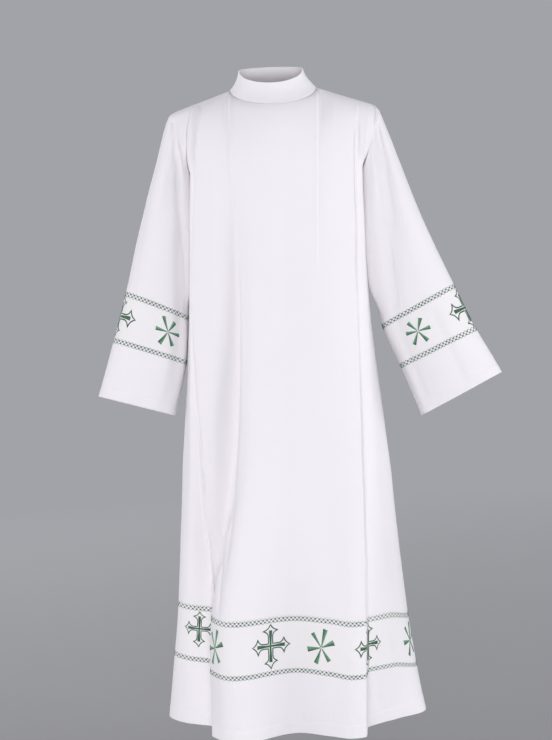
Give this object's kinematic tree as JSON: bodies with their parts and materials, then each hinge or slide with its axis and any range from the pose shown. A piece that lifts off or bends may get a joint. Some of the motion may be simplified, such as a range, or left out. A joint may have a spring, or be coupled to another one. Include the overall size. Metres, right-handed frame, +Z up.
{
  "type": "alb robe",
  "caption": "Full-length white robe with a low stand collar, wide set-in sleeves and a patterned band let in above the hem and each cuff.",
  "frame": {"origin": "middle of the neck at the height of the two points where the shoulder seams meet the collar", "axes": "+Z up, the garment's front faces -Y, and +X is the side on the viewer's right from the front"},
  "size_m": [0.921, 0.516, 1.4864],
  "materials": {
    "plain_cloth": "matt white cloth with a soft sheen",
    "band_cloth": "matt white cloth with dark green satin-stitch crosses and stars and a green lattice border along each edge"
  },
  "bodies": {
    "root": {"front": "plain_cloth", "back": "plain_cloth", "collar": "plain_cloth", "sleeve_left": "plain_cloth", "sleeve_right": "plain_cloth", "sleeve_band_left": "band_cloth", "sleeve_band_right": "band_cloth", "cuff_left": "plain_cloth", "cuff_right": "plain_cloth", "hem_band_front": "band_cloth", "hem_band_back": "band_cloth", "hem_front": "plain_cloth", "hem_back": "plain_cloth"}
  },
  "joints": []
}
